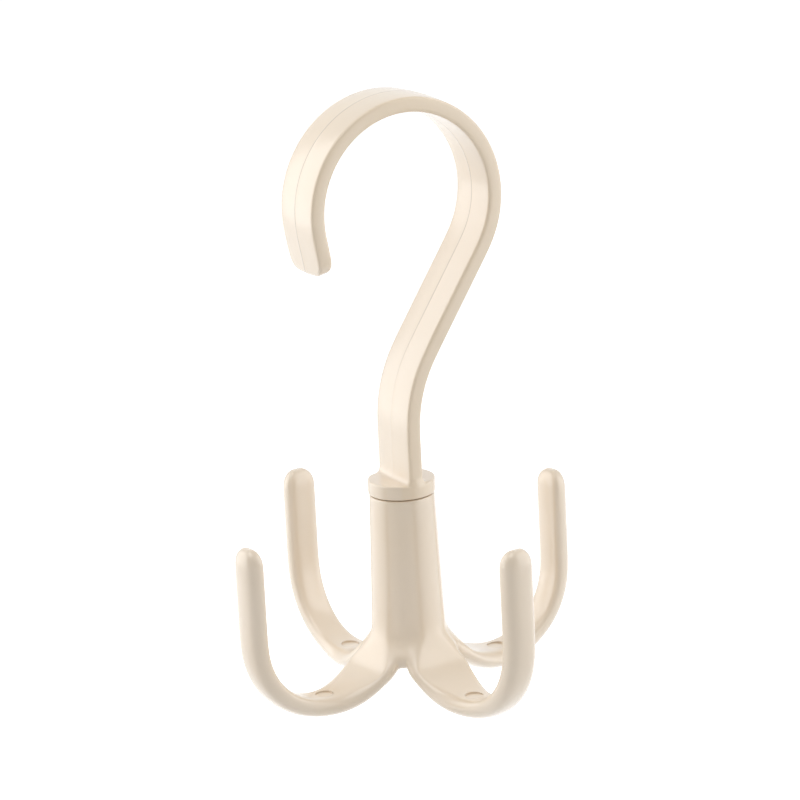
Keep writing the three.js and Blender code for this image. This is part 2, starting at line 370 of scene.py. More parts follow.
def plated_steel(scene):
    """Bright plating with fine turning lines and dull patches."""
    found = bpy.data.materials.get("plated_steel")
    if found:
        return found
    finishes = scene.finishes
    material = bpy.data.materials.new("plated_steel")
    nodes = Nodes(material)
    where = nodes.place()
    dull = nodes.noise(where, DULL_SCALE, 3)
    lines = nodes.lines(where, LINE_SCALES, 2)
    tint = nodes.mix_colour((dull - DULL_LEVEL) * DULL_TINT, finishes.steel, finishes.steel_dull)
    rough = STEEL_ROUGHNESS + (dull - HALF) * DULL_ROUGH + (lines - HALF) * LINE_ROUGH
    bump = nodes.bump(lines, LINE_STRENGTH, LINE_HEIGHT)
    shader(nodes, {"Base Color": tint, "Metallic": 1, "Roughness": rough, "Normal": bump})
    return material


# Edit-mode helpers


# How near counts as the same place: for a move to leave out, for points doubled by a
# cut, for points that meet, and for one that is looked up
TINY = 0.000001 * mm
SLIVER = 0.002 * mm
TOUCH = 0.01 * mm
NEAR = 0.05 * mm


def set_mode(mode):
    bpy.ops.object.mode_set(mode=mode)


def select_all():
    bpy.ops.mesh.select_all(action="SELECT")


def select_none():
    bpy.ops.mesh.select_all(action="DESELECT")


def pick(test):
    """Selects the points that pass a test, and what lies between them."""
    mesh = bmesh.from_edit_mesh(bpy.context.object.data)
    select_none()
    for vertex in mesh.verts:
        if test(vertex.co):
            vertex.select_set(True)
    mesh.select_flush(True)
    bmesh.update_edit_mesh(bpy.context.object.data)


def pick_faces(test):
    """Selects the faces whose middle passes a test."""
    mesh = bmesh.from_edit_mesh(bpy.context.object.data)
    select_none()
    for face in mesh.faces:
        if test(face.calc_center_median()):
            face.select_set(True)
    bmesh.update_edit_mesh(bpy.context.object.data)


def extrude(shift=(0, 0, 0)):
    bpy.ops.mesh.extrude_region_move(TRANSFORM_OT_translate={"value": shift})


def sweep(angle, centre, steps):
    """Extrudes the selection round an axis along Y."""
    bpy.ops.mesh.spin(steps=steps, angle=angle, center=centre, axis=(0, 1, 0))


def widen(ratio, centre):
    bpy.ops.transform.resize(value=(ratio, ratio, 1), center_override=centre)


def rotate(angle, axis="Z", centre=(0, 0, 0)):
    bpy.ops.transform.rotate(
        value=angle, orient_axis=axis, orient_type="GLOBAL", center_override=centre
    )


def merge(gap):
    select_all()
    bpy.ops.mesh.remove_doubles(threshold=gap)


def face_outward():
    select_all()
    bpy.ops.mesh.normals_make_consistent(inside=False)


def fit_ring(places):
    """Moves the selected points, by pairs of an old and a new place, and keeps them selected."""
    data = bpy.context.object.data
    mesh = bmesh.from_edit_mesh(data)
    chosen = {}
    for kind in ("verts", "edges", "faces"):
        parts = getattr(mesh, kind)
        parts.index_update()
        parts.ensure_lookup_table()
        chosen[kind] = [part.index for part in parts if part.select]
    moves = []
    for index in chosen["verts"]:
        at = mesh.verts[index].co.copy()
        _, new = min(places, key=lambda pair: (pair[0] - at).length)
        moves.append((index, new - at))
    for index, step in moves:
        if step.length < TINY:
            continue
        select_none()
        mesh = bmesh.from_edit_mesh(data)
        mesh.verts.ensure_lookup_table()
        mesh.verts[index].select_set(True)
        bpy.ops.transform.translate(value=step)
    select_none()
    mesh = bmesh.from_edit_mesh(data)
    for kind, wanted in chosen.items():
        parts = getattr(mesh, kind)
        parts.ensure_lookup_table()
        for index in wanted:
            parts[index].select_set(True)
    bmesh.update_edit_mesh(data)


def deselect():
    bpy.ops.object.select_all(action="DESELECT")


def activate(piece):
    deselect()
    piece.select_set(True)
    bpy.context.view_layer.objects.active = piece


def start_editing(name):
    """Names the primitive just added, settles its place and opens it for editing."""
    piece = bpy.context.object
    piece.name = name
    piece.data.name = name
    bpy.ops.object.transform_apply(location=True, rotation=True, scale=True)
    set_mode("EDIT")
    bpy.ops.mesh.select_mode(type="VERT")
    return piece


def apply_modifier(piece, kind, **settings):
    modifier = piece.modifiers.new(kind.title(), kind)
    for name, value in settings.items():
        setattr(modifier, name, value)
    activate(piece)
    bpy.ops.object.modifier_apply(modifier=modifier.name)


def cut(piece, cutter, operation="DIFFERENCE"):
    """Cuts one closed mesh by another, or joins them, and removes the second."""
    apply_modifier(piece, "BOOLEAN", object=cutter, operation=operation, solver="EXACT")
    bpy.data.objects.remove(cutter)


def turned(name, profile, closed, sides):
    """A turned body about the swivel axis, through [radius, z] points.

    Where closed, the profile comes back to its first point. Otherwise both ends are filled.
    """
    deselect()
    r, z = profile[0]
    bpy.ops.mesh.primitive_circle_add(vertices=sides, radius=r, location=(0, 0, z))
    piece = start_editing(name)
    select_all()
    for new_r, new_z in profile[1:] + (profile[:1] if closed else []):
        extrude((0, 0, new_z - z))
        widen(new_r / r, (0, 0, new_z))
        r, z = new_r, new_z
    merge(TOUCH)
    if not closed:
        bpy.ops.mesh.fill_holes(sides=0)
    face_outward()
    return piece


def finish_piece(piece, material, body, node):
    piece.data.materials.clear()
    piece.data.materials.append(material)
    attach(piece, body)
    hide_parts(node)


def smooth_skin(piece):
    """Leaves edit mode and subdivides the cage."""
    set_mode("OBJECT")
    apply_modifier(piece, "SUBSURF", levels=SKIN_LEVELS)


# Places and shares


def polar(reach, around, z):
    """A point by its reach from the swivel axis, its turn and its height."""
    return Vector((reach * math.cos(around), reach * math.sin(around), z))


def crisp(corners):
    """The inner corners of a stepped profile, each held firm by a point on either side."""
    points = []
    for before, corner, after in zip(corners, corners[1:], corners[2:]):
        for end in (before, corner, after):
            steps = [max(-CRISP, min(CRISP, b - a)) for a, b in zip(corner, end)]
            points.append((corner[0] + steps[0], corner[1] + steps[1]))
    return points


def smooth_step(value):
    value = min(max(value, 0), 1)
    return value * value * (3 - 2 * value)


def mix(first, second, amount):
    return first + (second - first) * amount


def ring_pull(count):
    """The radius of a subdivided ring of that many points, over its cage's."""
    return (2 + math.cos(math.tau / count)) / 3


SKIN_LEVELS = 2
CRISP = 0.5 * mm
# Edges sharper than this stay sharp, on the base, the washer and the screw
BASE_CREASE = math.radians(40)
WASHER_CREASE = math.radians(30)
SCREW_CREASE = math.radians(32)

# The band's cage has thirteen points on each wide face: its middle, the foot of the
# seam and so on out to the narrow edge, in shares of the half width and of the crown.
# The last one's rise is a share of the half thickness.
BAND_ACROSS_SHARES = (0, None, 0.31, 0.64, 0.865, 0.98, 1)
BAND_RISE_SHARES = (1, 1, 0.93, 0.64, 0.28, 0.05)
BAND_EDGE_SHARE = 0.63
BAND_LAST = len(BAND_ACROSS_SHARES) - 1
BAND_COLUMNS = [(side, j) for side in (1, -1) for j in range(-BAND_LAST, BAND_LAST + 1)]

# Rings of the tip: millimetres back from its end, then shares of the outer and inner
# half thickness and of the half width
TIP_RINGS = (
    (0, 0.5, 0.0, 0.36),
    (0.3, 0.88, 0.35, 0.62),
    (1.3, 1, 0.7, 0.82),
    (3.0, 1, 0.94, 0.945),
    (5.6, 1, 1, 1),
)
LOOP_STEPS = 30
LEAN_STEPS = 4
BEND_STEPS = 5
SHANK_STEPS = 2

# Rings of the foot, from the band out over the collar: shares of the way from the
# band's edge to the collar's wall, and millimetres over the collar's top
FLUSH_SHARES = (0.06, 0.3, 0.62, 0.86, 0.97, 1, 1)
FLUSH_RISES = (1.7, 1.1, 0.5, -0.1, -0.6, -1.1, -1.7)
FOOT_SPREADS = ((0.08, 1.3), (0.45, 0.45), (1.15, 0))
# The foot's spread past the narrow edges as a share of its spread elsewhere, how far it
# keeps inside the collar, and how much the columns next to those edges lie flush
EDGE_SPREAD = 0.3
FOOT_INSET = 0.15 * mm
EDGE_FOLLOW = 0.3


class MakeUpperHook(bpy.types.Operator):
    """Model the question-mark hook with its collar and spigot."""

    bl_idname = "closet_hook.make_upper_hook"
    bl_label = "Upper Hook"

    def section(self, sizes, out=1, inside=1, across=1):
        """Each column's place on the band's section, as [outward, across]."""
        half = sizes.band_thickness / 2
        wide = sizes.band_width / 2
        places = {}
        for side, j in BAND_COLUMNS:
            k = abs(j)
            rise = half * BAND_EDGE_SHARE
            if k < BAND_LAST:
                rise = half + sizes.band_crown * BAND_RISE_SHARES[k]
            rise *= out if side > 0 else inside
            if k == 0:
                rise += sizes.seam_height
            reach = sizes.seam_width / 2 if k == 1 else BAND_ACROSS_SHARES[k] * wide * across
            places[side, j] = Vector((side * rise, math.copysign(reach, j)))
        return places

    def round_ring(self, radius):
        """Each column's place on a circle."""
        step = math.tau / len(BAND_COLUMNS)
        reach = radius / ring_pull(len(BAND_COLUMNS))
        return {
            (side, j): Vector((side * reach * math.cos(j * step), reach * math.sin(j * step)))
            for side, j in BAND_COLUMNS
        }

    def ring_to(self, old, new):
        fit_ring([(old[c], new[c]) for c in BAND_COLUMNS])
        return new

    def make_band(self, sizes, collar_top):
        """Extrudes and spins the band from its tip down to the foot."""
        radius = sizes.loop_radius + sizes.band_thickness / 2
        centre = Vector((sizes.loop_offset, 0, -sizes.loop_radius))
        tip_x = centre.x - radius
        tip_z = centre.z - sizes.tip_length
        deselect()
        wide = sizes.band_width
        bpy.ops.mesh.primitive_grid_add(
            x_subdivisions=1, y_subdivisions=2 * BAND_LAST, size=wide, location=(tip_x, 0, tip_z)
        )
        piece = start_editing("upper_hook_moulding")
        step = wide / (2 * BAND_LAST)
        ring = {
            (side, j): Vector((tip_x - side * wide / 2, j * step, tip_z))
            for side, j in BAND_COLUMNS
        }
        select_all()
        rings = [(back * mm, *shares) for back, *shares in TIP_RINGS]
        rings.append((sizes.tip_length, 1, 1, 1))
        for k, (back, out, inside, across) in enumerate(rings):
            if k:
                extrude()
            flat = self.section(sizes, out, inside, across)
            places = {c: Vector((tip_x - p.x, p.y, tip_z + back)) for c, p in flat.items()}
            ring = self.ring_to(ring, places)
        select_all()
        rotate(sizes.tip_curl, "Y", centre)
        ahead = Matrix.Rotation(-sizes.tip_curl, 3, "Y") @ UP
        pick_faces(lambda c: (c - centre).dot(ahead) > -TOUCH)

        sweep(-(math.pi + sizes.tip_curl + sizes.lean), centre, LOOP_STEPS)
        down = Vector((-math.sin(sizes.lean), 0, -math.cos(sizes.lean)))
        lean_start = centre + radius * Vector((math.cos(sizes.lean), 0, -math.sin(sizes.lean)))
        bend_x = sizes.bend_radius * (1 - math.cos(sizes.lean))
        lean_length = (lean_start.x - bend_x) / math.sin(sizes.lean)
        for _ in range(LEAN_STEPS):
            extrude(down * lean_length / LEAN_STEPS)
        bend_z = collar_top + sizes.shank_length
        sweep(sizes.lean, Vector((sizes.bend_radius, 0, bend_z)), BEND_STEPS)
        for _ in range(SHANK_STEPS):
            extrude((0, 0, (sizes.foot_rise - sizes.shank_length) / SHANK_STEPS))
        return piece

    def foot_rings(self, sizes, flat, collar_top):
        """Rings from the band's foot out over the collar's top edge."""
        radius = HOOK_HIGH.y
        rim = sizes.collar_rim
        limit = (radius - rim) / ring_pull(len(BAND_COLUMNS)) - FOOT_INSET

        def spread(amount, z):
            places = {}
            for c, p in flat.items():
                out = Vector((p.x + math.copysign(amount, c[0]), p.y))
                if abs(c[1]) >= BAND_LAST - 1:
                    out.y += math.copysign(amount * EDGE_SPREAD, c[1])
                if out.length > limit:
                    out = out.normalized() * limit
                places[c] = Vector((out.x, out.y, z))
            return places

        rings = [spread(out * mm, collar_top + rise * mm) for out, rise in FOOT_SPREADS]
        inner_rim = self.round_at(radius - rim, collar_top)
        rings.append({c: rings[-1][c].lerp(inner_rim[c], 0.5) for c in BAND_COLUMNS})
        rings += [inner_rim, self.round_at(radius, collar_top)]
        rings.append(self.round_at(radius, collar_top - rim))
        wall = self.round_ring(radius)
        for k, places in enumerate(rings):
            for c in BAND_COLUMNS:
                weight = {BAND_LAST: 1, BAND_LAST - 1: EDGE_FOLLOW}.get(abs(c[1]), 0)
                edge = flat[c].lerp(wall[c], FLUSH_SHARES[k])
                flush = Vector((edge.x, edge.y, collar_top + FLUSH_RISES[k] * mm))
                places[c] = places[c].lerp(flush, weight)
        return rings

    def round_at(self, radius, z):
        return {c: Vector((p.x, p.y, z)) for c, p in self.round_ring(radius).items()}

    def execute(self, context):
        scene = context.scene
        sizes = scene.hook_sizes
        collar_low = BASE_HIGH.z + scene.base_sizes.parting_gap
        collar_top = collar_low + sizes.collar_thickness
        piece = self.make_band(sizes, collar_top)

        flat = self.section(sizes)
        ring = {c: Vector((p.x, p.y, collar_top + sizes.foot_rise)) for c, p in flat.items()}
        for places in self.foot_rings(sizes, flat, collar_top):
            extrude()
            ring = self.ring_to(ring, places)

        collar = HOOK_HIGH.y
        rim = sizes.collar_rim
        spigot = sizes.spigot_diameter / 2
        journal = sizes.journal_diameter / 2
        pilot = sizes.pilot_diameter / 2
        shoulder = collar_low - sizes.spigot_length
        end = HOOK_LOW.z
        wide_steps = [(collar, collar_low), (spigot, collar_low), (spigot, shoulder)]
        narrow_steps = [(journal, shoulder), (journal, end), (pilot, end)]
        lower = [(collar, collar_low + rim), (collar, collar_low), (collar - rim, collar_low)]
        lower += crisp(wide_steps + narrow_steps)
        lower += [(pilot, end), (pilot, end + CRISP), (pilot, end + sizes.pilot_depth)]
        for r, z in lower:
            extrude()
            ring = self.ring_to(ring, self.round_at(r, z))

        smooth_skin(piece)
        bpy.ops.object.shade_smooth()
        plastic = cream_plastic(
            scene, "cream_plastic_hook", [ROD_SEAT], seam=sizes.seam_width, width=sizes.band_width
        )
        finish_piece(piece, plastic, "hook", "upper_hook")
        return {"FINISHED"}


# A quarter of the hub is ten columns wide. Columns -3 to 3 grow into a claw, and column 5
# lies in the valley between two. The belly's cage runs from its middle to its side, in
# shares of the half width and of its depth, on the root and on the claw.
CLAWS = 4
HUB_COLUMNS = 40
CLAW_SIDE = 3
EDGE_COLUMN = 5
ROOT_BELLY_SHARES = ((0, 1.03), (0.45, 1), (0.84, 0.86), (1.04, 0.45))
CLAW_BELLY_SHARES = ((0, 1.015), (0.43, 0.98), (0.8, 0.8), (1, 0.37))

# Rows of the root: degrees of the bend, the shares of columns 0 to 3, and for column 5
# its drop below the bend's centre and how far it is from the hub's wall to the crotch
ROOT_ROWS = (
    (11, ((0, 1), (0.156, 0.98), (0.309, 0.94), (0.454, 0.87)), (4.8, 0)),
    (21, ((0, 0.97), (0.17, 0.965), (0.34, 0.925), (0.5, 0.76)), (8.2, 0.05)),
    (31, ((0, 1), (0.28, 1), (0.56, 0.99), (0.77, 0.85)), (11.2, 0.45)),
)
# Column 4 lies halfway between its neighbours, and this much further out
ARC_SHARE = 1.012
# The lip above and below the crotch: the degrees and shares of column 4, then column 5
LIP_ROWS = ((33.5, (0.87, 0.72), (12.9, 0.97)), (37.2, (0.86, 0.5), (16.8, 0.97)))
# The lowest row, under a claw and under a valley: millimetres from the axis, and over
# the hub's foot
FOOT_REACHES = (9.4, 11.7)
FOOT_LIFTS = (-0.9, 0.35)
# Other rows of the hub's wall: millimetres over its foot, and over the bend's centre
LOW_ROWS = (0.4, 1.3)
WALL_ROWS = (0, 6, 16, 27)
# Which rows of the hub's profile become the root, the lip and the lowest row
ROOT_PLACES = (6, 5, 4)
LIP_PLACES = (3, 2)
FOOT_PLACE = 1

# Rings of the claw: degrees of the bend, shares of the face's edge across and of the
# side across and up, how wide its belly is and how round its face
CLAW_RINGS = (
    (42, 0.92, 0.98, 0.45, 0.92, 0),
    (50, 0.92, 1.01, 0.42, 0.98, 0),
    (58, 0.88, 1.03, 0.35, 1.02, 0),
    (66, 0.82, 1.05, 0.2, 1.05, 0),
    (75, 0.77, 1.08, 0.1, 1.08, 0),
    (84, 0.76, 1.09, 0.1, 1.1, 0),
    (94, 0.79, 1.06, 0.2, 1.06, 0.1),
    (104, 0.85, 1.04, 0.25, 1.02, 0.25),
    (115, 0.88, 1.04, 0.27, 1, 0.45),
    (127, 0.88, 1.045, 0.28, 1, 0.65),
    (140, 0.88, 1.05, 0.28, 1, 0.85),
    *((degrees, 0.88, 1.05, 0.28, 1, 1) for degrees in (153, 167, 180)),
)
# Columns 0 to 2 of a face that is quite round
ROUND_FACE = ((0, 1.08), (0.5, 1.04), (0.91, 0.8))
# The degrees of the bend between which the root's face sags
SAG_START = 5
SAG_END = 75
# Where column 1 lies between the face's middle and its edge, on the root and on the claw
FACE_INNER_SHARES = (0.88, 0.56)
# The first ring turns back a little at its sides, towards the crotch
START_TURNS_BACK = (0, 0, 1, 2)

# Rings of a finger over the bend: millimetres below its tip, and its size
FINGER_RINGS = ((23, 1), (14, 1), (6.2, 1), (4.1, 0.985), (2.3, 0.88), (0.8, 0.66), (-0.1, 0.34))
MARK_SIDES = 48


class ClawForm:
    """Where the hub and a claw along +X lie, worked out from the sizes of the base."""

    def __init__(self, sizes):
        self.sizes = sizes
        self.top = BASE_HIGH.z
        self.bend_z = self.top - sizes.claw_drop
        self.foot = self.bend_z - sizes.foot_drop
        self.root = self.hub_radius(self.bend_z)
        self.half = sizes.claw_thickness / 2
        self.inner_bend = (sizes.claw_reach - self.half - self.root) / 2
        self.bend = self.inner_bend + self.half
        self.bend_x = sizes.claw_reach - self.bend
        self.saddle_z = self.bend_z - self.inner_bend

    def hub_radius(self, z):
        return self.sizes.hub_diameter / 2 + (self.top - z) * math.tan(self.sizes.hub_draft)

    def saddles(self, z):
        """The middles of the four saddles, at a height."""
        turns = [self.sizes.rest_turn + k * QUARTER for k in range(CLAWS)]
        return [polar(self.bend_x, around, z) for around in turns]

    def place(self, angle, across, inward):
        """A point of the section at a turn of the bend."""
        reach = self.bend - inward
        x = self.bend_x - reach * math.cos(angle)
        return Vector((x, across, self.bend_z - reach * math.sin(angle)))

    def section(self, degrees):
        """The section's widest line, half width and the flare's share, at a turn."""
        sizes = self.sizes
        angle = math.radians(degrees)
        face = smooth_step(angle / sizes.face_span)
        flare = smooth_step((angle - sizes.flare_start) / (sizes.flare_end - sizes.flare_start))
        widest = mix(self.bend - self.bend_x, self.half - sizes.claw_crest, face)
        belly = mix(sizes.root_belly, sizes.claw_thickness - sizes.claw_crest, face)
        return widest, self.half - widest, belly, mix(self.root, sizes.claw_width / 2, flare), flare

    def sag(self, degrees):
        """How far the root's face lies outside a round bend, at a turn."""
        share = min(max((degrees - SAG_START) / (SAG_END - SAG_START), 0), 1)
        return self.sizes.root_sag * math.sin(math.pi * share) ** 2

    def on_cage(self, degrees, shares, side, upper):
        """A point of the cage, at shares of the half width and of the crest or the belly."""
        widest, crest, belly, half, _ = self.section(degrees)
        across, away = shares
        if upper:
            inward = widest + crest * away - self.sag(degrees)
        else:
            inward = widest - belly * away
        return self.place(math.radians(degrees), math.copysign(half * across, side), inward)

    def on_claw(self, ring, j, upper):
        """Column j of one of the claw's rings."""
        degrees, edge, side, up, belly, roundness = CLAW_RINGS[ring]
        flare = self.section(degrees)[4]
        k = abs(j)
        if upper:
            inner = edge * mix(*FACE_INNER_SHARES, flare)
            flat = ((0, 1), (inner, 1), (edge, 0.985))
            shares = (side, up)
            if k < CLAW_SIDE:
                shares = [mix(a, b, roundness) for a, b in zip(flat[k], ROUND_FACE[k])]
        else:
            pair = zip(ROOT_BELLY_SHARES[k], CLAW_BELLY_SHARES[k])
            across, away = (mix(root, claw, flare) for root, claw in pair)
            shares = across * belly, away
        if ring == 0:
            degrees -= START_TURNS_BACK[k]
        return self.on_cage(degrees, shares, j, upper)

    def valley(self, drop, gone, side):
        """A point of the valley between two claws, so far below the bend's centre."""
        z = self.bend_z - drop * mm
        out = mix(self.hub_radius(z), self.sizes.crotch_reach, gone) * math.sqrt(0.5)
        return Vector((out, math.copysign(out, side), z))


class MakeClawBase(bpy.types.Operator):
    """Model the hub and its four claws."""

    bl_idname = "closet_hook.make_claw_base"
    bl_label = "Claw Base"

    def hub_profile(self, sizes, hook, form):
        """The hub's section from its foot up the outside, and down the bore and the socket."""
        top, foot = form.top, form.foot
        shoulder = top + sizes.parting_gap - hook.spigot_length
        web_top = shoulder - sizes.running_gap
        web_low = web_top - sizes.web_thickness
        bore = hook.spigot_diameter / 2 + sizes.running_gap
        hole = hook.journal_diameter / 2 + sizes.running_gap
        socket = sizes.socket_diameter / 2
        rim = sizes.hub_rim
        # The rows that the root takes over only start here
        wall = [foot + rise * mm for rise in LOW_ROWS]
        wall += [form.bend_z - last[0] * mm for _, _, last in reversed(ROOT_ROWS)]
        wall += [form.bend_z + rise * mm for rise in WALL_ROWS] + [top - rim, top]
        outside = [(form.hub_radius(z), z) for z in wall]
        inner_rim = (form.hub_radius(top) - rim, top)
        foot_ring = (sizes.foot_radius, foot)
        above_web = [inner_rim, (bore, top), (bore, web_top), (hole, web_top)]
        below_web = [(hole, web_low), (socket, web_low), (socket, foot), foot_ring]
        return [foot_ring, *outside, inner_rim, *crisp(above_web + below_web)]

    def shape_root(self, form, profile):
        """Moves the lower rows of a quarter of the hub out into the root of a claw."""
        pull = ring_pull(HUB_COLUMNS)
        step = math.tau / HUB_COLUMNS
        columns = range(-EDGE_COLUMN, EDGE_COLUMN + 1)
        moves = []

        def move(row, j, new):
            r, z = profile[row]
            moves.append((polar(r / pull, j * step, z), new))

        for row, (degrees, shares, last) in zip(ROOT_PLACES, ROOT_ROWS):
            for j in columns:
                k = abs(j)
                if k <= CLAW_SIDE:
                    new = form.on_cage(degrees, shares[k], j, True)
                else:
                    new = form.valley(*last, j)
                if k == CLAW_SIDE + 1:
                    new = new.lerp(form.on_cage(degrees, shares[CLAW_SIDE], j, True), 0.5)
                    new = Vector((new.x * ARC_SHARE, new.y * ARC_SHARE, new.z))
                move(row, j, new)
        for row, upper, (degrees, shares, last) in zip(LIP_PLACES, (True, False), LIP_ROWS):
            for j in columns:
                if abs(j) <= CLAW_SIDE:
                    new = form.on_claw(0, j, upper)
                elif abs(j) < EDGE_COLUMN:
                    new = form.on_cage(degrees, shares, j, upper)
                else:
                    new = form.valley(*last, j)
                move(row, j, new)
        for j in columns:
            amount = abs(j) / EDGE_COLUMN
            reach = mix(*FOOT_REACHES, amount) * mm
            lift = mix(*FOOT_LIFTS, amount) * mm
            move(FOOT_PLACE, j, polar(reach, j * step, form.foot + lift))
        # In the valley the first row comes this near to where the second was, and so it
        # goes on with it
        for old, new in moves:
            pick(lambda co, old=old: (co - old).length < NEAR)
            bpy.ops.transform.translate(value=new - old)

    def grow_claw(self, form):
        """Extrudes the claw from its root round the bend and up to the fingertip."""
        columns = range(-CLAW_SIDE, CLAW_SIDE + 1)
        keys = [(j, upper) for upper in (True, False) for j in columns]
        ring = {key: form.on_claw(0, *key) for key in keys}
        first = list(ring.values())
        pick(lambda co: any((co - p).length < NEAR for p in first))
        for n in range(1, len(CLAW_RINGS)):
            extrude()
            places = {key: form.on_claw(n, *key) for key in keys}
            fit_ring([(ring[key], places[key]) for key in keys])
            ring = places
        tip = form.bend_z + form.sizes.finger_length
        z, size = form.bend_z, 1
        for below, new_size in FINGER_RINGS:
            new_z = tip - below * mm
            extrude((0, 0, new_z - z))
            widen(new_size / size, (form.sizes.claw_reach, 0, new_z))
            z, size = new_z, new_size

    def cut_marks(self, piece, form):
        """Sinks a round moulding mark into the floor of each saddle."""
        sizes = form.sizes
        height = sizes.claw_thickness
        for place in form.saddles(form.saddle_z - sizes.mark_depth + height / 2):
            deselect()
            bpy.ops.mesh.primitive_cylinder_add(
                vertices=MARK_SIDES, radius=sizes.mark_diameter / 2, depth=height, location=place
            )
            bpy.ops.object.transform_apply(location=True)
            cut(piece, bpy.context.object)

    def execute(self, context):
        scene = context.scene
        sizes = scene.base_sizes
        form = ClawForm(sizes)
        profile = self.hub_profile(sizes, scene.hook_sizes, form)
        pull = ring_pull(HUB_COLUMNS)
        wide = [(r / pull, z) for r, z in profile]
        piece = turned("claw_base_moulding", wide, True, HUB_COLUMNS)

        # One quarter is modelled about +X, and the rest is copied
        pick_faces(lambda c: abs(math.atan2(c.y, c.x)) > QUARTER / 2)
        bpy.ops.mesh.delete(type="FACE")
        self.shape_root(form, profile)
        self.grow_claw(form)
        select_all()
        for _ in range(CLAWS - 1):
            bpy.ops.mesh.duplicate()
            rotate(QUARTER)
        merge(TOUCH)
        rotate(-sizes.rest_turn)
        face_outward()
        smooth_skin(piece)
        self.cut_marks(piece, form)
        activate(piece)
        bpy.ops.object.shade_smooth_by_angle(angle=BASE_CREASE)

        saddles = [(middle, SADDLE_REACH) for middle in form.saddles(form.saddle_z)]
        plastic = cream_plastic(scene, "cream_plastic_base", saddles, ring=sizes.mark_diameter / 2)
        finish_piece(piece, plastic, "claws", "claw_base")
        return {"FINISHED"}


WASHER_SIDES = 96


class MakeWasher(bpy.types.Operator):
    """Model the washer under the hub's web."""

    bl_idname = "closet_hook.make_washer"
    bl_label = "Retaining Washer"

    def execute(self, context):
        sizes = context.scene.fastener_sizes
        bore = sizes.washer_bore / 2
        rim = WASHER_HIGH.x
        low, high = WASHER_LOW.z, WASHER_HIGH.z
        edge = sizes.washer_chamfer
        outside = [(rim - edge, low), (rim, low + edge), (rim, high - edge), (rim - edge, high)]
        inside = [(bore + edge, high), (bore, high - edge), (bore, low + edge)]
        profile = [(bore + edge, low), *outside, *inside]
        piece = turned("retaining_washer_disc", profile, True, WASHER_SIDES)
        set_mode("OBJECT")
        bpy.ops.object.shade_smooth_by_angle(angle=WASHER_CREASE)
        finish_piece(piece, plated_steel(context.scene), "hook", "retaining_washer")
        return {"FINISHED"}


SCREW_SIDES = 64
THREAD_SIDES = 4
THREAD_STEPS = 24
# The dome of the screw's head: shares of its radius and of its height
HEAD_DOME = ((0.3, 0), (0.55, 0.1), (0.76, 0.29), (0.9, 0.58), (0.975, 0.85))
HEAD_ROUNDING = 0.12 * mm
POINT_SHARE = 0.12
# A recess slot's length and width at its bottom, against those at its mouth
RECESS_TAPER = (0.35, 0.6, 1)


class MakeScrew(bpy.types.Operator):
    """Model the pan-head screw that holds the washer."""

    bl_idname = "closet_hook.make_screw"
    bl_label = "Pivot Screw"

    def thread(self, sizes, low, high):
        """A ridge along a helix, from just over the head to the point."""
        deselect()
        depth = sizes.thread_depth
        core = sizes.screw_diameter / 2 - depth
        turned_up = (QUARTER, 0, 0)
        bpy.ops.mesh.primitive_circle_add(
            vertices=THREAD_SIDES, radius=depth, location=(core, 0, low), rotation=turned_up
        )
        ridge = bpy.context.object
        bpy.ops.object.transform_apply(location=True, rotation=True)
        pitch = sizes.thread_pitch
        turns = int((high - low) / pitch)
        apply_modifier(
            ridge, "SCREW", axis="Z", screw_offset=pitch, iterations=turns, steps=THREAD_STEPS
        )
        set_mode("EDIT")
        select_all()
        bpy.ops.mesh.fill_holes(sides=0)
        face_outward()
        set_mode("OBJECT")
        return ridge

    def recess_slot(self, sizes, face_z, around):
        """One slot of the crossed recess, narrower towards its bottom."""
        deselect()
        depth = 2 * sizes.recess_depth
        scale = (sizes.recess_length, sizes.recess_width, depth)
        bpy.ops.mesh.primitive_cube_add(size=1, location=(0, 0, face_z), scale=scale)
        slot = start_editing("recess_slot")
        pick(lambda co: co.z > face_z)
        bpy.ops.transform.resize(value=RECESS_TAPER, center_override=(0, 0, face_z))
        select_all()
        rotate(around)
        set_mode("OBJECT")
        return slot

    def execute(self, context):
        sizes = context.scene.fastener_sizes
        face = SCREW_LOW.z
        tip = SCREW_HIGH.z
        head = SCREW_HIGH.x
        head_top = face + sizes.head_height
        dome = sizes.head_height - sizes.head_edge
        core = sizes.screw_diameter / 2 - sizes.thread_depth
        edge = HEAD_ROUNDING
        profile = [(head * r, face + dome * z) for r, z in HEAD_DOME]
        profile += [(head, face + dome + edge), (head, head_top - edge), (head - edge, head_top)]
        profile += [(core + 2 * edge, head_top), (core, head_top + 2 * edge)]
        profile += [(core, tip - sizes.screw_point), (core * POINT_SHARE, tip)]
        piece = turned("pivot_screw_body", profile, False, SCREW_SIDES)
        set_mode("OBJECT")
        cut(piece, self.thread(sizes, head_top + CRISP, tip - sizes.screw_point), "UNION")
        for around in (0, QUARTER):
            cut(piece, self.recess_slot(sizes, face, around))
        activate(piece)
        set_mode("EDIT")
        merge(SLIVER)
        set_mode("OBJECT")
        bpy.ops.object.shade_smooth_by_angle(angle=SCREW_CREASE)
        finish_piece(piece, plated_steel(context.scene), "hook", "pivot_screw")
        return {"FINISHED"}


# The camera, as the photograph was taken: angles, distance and how its frame is shifted
CAMERA_TURN = math.radians(29.5)
CAMERA_HEIGHT = math.radians(16)
CAMERA_ROLL = math.radians(-2.96)
PIXEL = 0.3065 * mm
FRAME_PIXELS = 800
DISTANCE_PIXELS = 4500
SENSOR_MM = 36
CLIP_START = 50 * mm
AIM_RIGHT_PIXELS = 2.8
AIM_UP_PIXELS = 95.7
AIM_ZERO = -120.7 * mm

